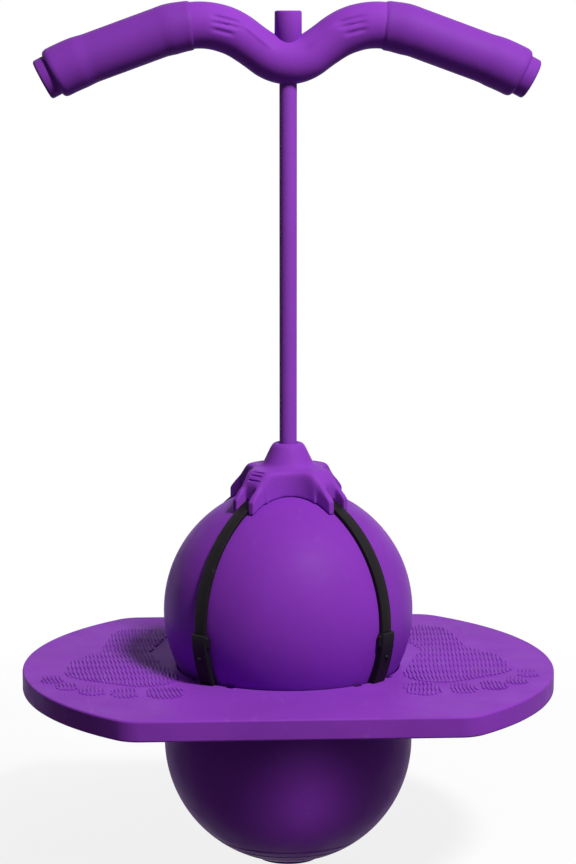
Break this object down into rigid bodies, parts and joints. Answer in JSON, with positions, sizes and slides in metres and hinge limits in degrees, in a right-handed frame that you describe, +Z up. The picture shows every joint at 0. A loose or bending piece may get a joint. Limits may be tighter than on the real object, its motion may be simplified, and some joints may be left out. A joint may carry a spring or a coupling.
{
  "type": "hopper ball",
  "caption": "Lobed bouncing ball held in a moulded standing deck by a strapped crown, with an elastic rope and a gull-wing handle to hold while jumping.",
  "frame": {"origin": "on the floor, at the middle of the ball's flat foot, under the upright axis of the rope", "axes": "+Z up along the rope, +X towards the right-hand end of the deck and handle, +Y to the back"},
  "size_m": [0.4078, 0.337, 0.6593],
  "materials": {
    "moulded_plastic": "fine moulded texture, satin",
    "ball_skin": "smooth matt inflated skin",
    "rope_elastic": "smooth elastic",
    "grip_rubber": "soft matt sleeve",
    "strap_rubber": "smooth matt",
    "hook_plastic": "moulded, semi-matt",
    "steel": "plated"
  },
  "bodies": {
    "ball": {"ball": "ball_skin"},
    "deck": {"deck": "moulded_plastic", "crown": "moulded_plastic", "strap_front_left": "strap_rubber", "strap_front_right": "strap_rubber", "strap_back_left": "strap_rubber", "strap_back_right": "strap_rubber", "hook_front_left": "hook_plastic", "hook_front_right": "hook_plastic", "hook_back_left": "hook_plastic", "hook_back_right": "hook_plastic", "strap_rivets": "steel", "rope_root": "rope_elastic", "rope_ferrule": "steel", "rope_washer": "steel"},
    "valve_plug": {"valve_plug": "ball_skin"},
    "rope_lower": {"rope_lower": "rope_elastic"},
    "rope_middle": {"rope_middle": "rope_elastic"},
    "rope_top": {"rope_upper": "rope_elastic", "rope_cap": "moulded_plastic", "rope_crimp": "steel", "cap_washer": "steel"},
    "handle": {"handlebar": "moulded_plastic", "left_grip": "grip_rubber", "right_grip": "grip_rubber", "left_end_plug": "grip_rubber", "right_end_plug": "grip_rubber"}
  },
  "joints": [
    {"name": "bounce", "type": "slide", "parent": "ball", "child": "deck", "axis": [0, 0, 1], "range_m": [-0.035, 0], "stiffness_N_per_m": 9000, "springref_m": 0.004, "deforming": ["ball"]},
    {"name": "valve_plug_pull", "type": "slide", "parent": "ball", "child": "valve_plug", "axis": [0, 0.866, -0.5], "range_m": [0, 0.016]},
    {"name": "rope_lean_fore_aft", "type": "hinge", "parent": "deck", "child": "rope_lower", "pos_m": [0, 0, 0.345], "axis": [1, 0, 0], "range_deg": [-30, 30], "stiffness_Nm_per_rad": 8},
    {"name": "rope_lean_sideways", "type": "hinge", "parent": "rope_lower", "child": "rope_middle", "pos_m": [0, 0, 0.381], "axis": [0, 1, 0], "range_deg": [-30, 30], "stiffness_Nm_per_rad": 8},
    {"name": "rope_stretch", "type": "slide", "parent": "rope_middle", "child": "rope_top", "axis": [0, 0, 1], "range_m": [0, 0.12], "stiffness_N_per_m": 250, "deforming": ["rope_middle"]},
    {"name": "handle_swivel", "type": "hinge", "parent": "rope_top", "child": "handle", "pos_m": [0, 0, 0.6], "axis": [0, 0, 1], "continuous": true}
  ]
}
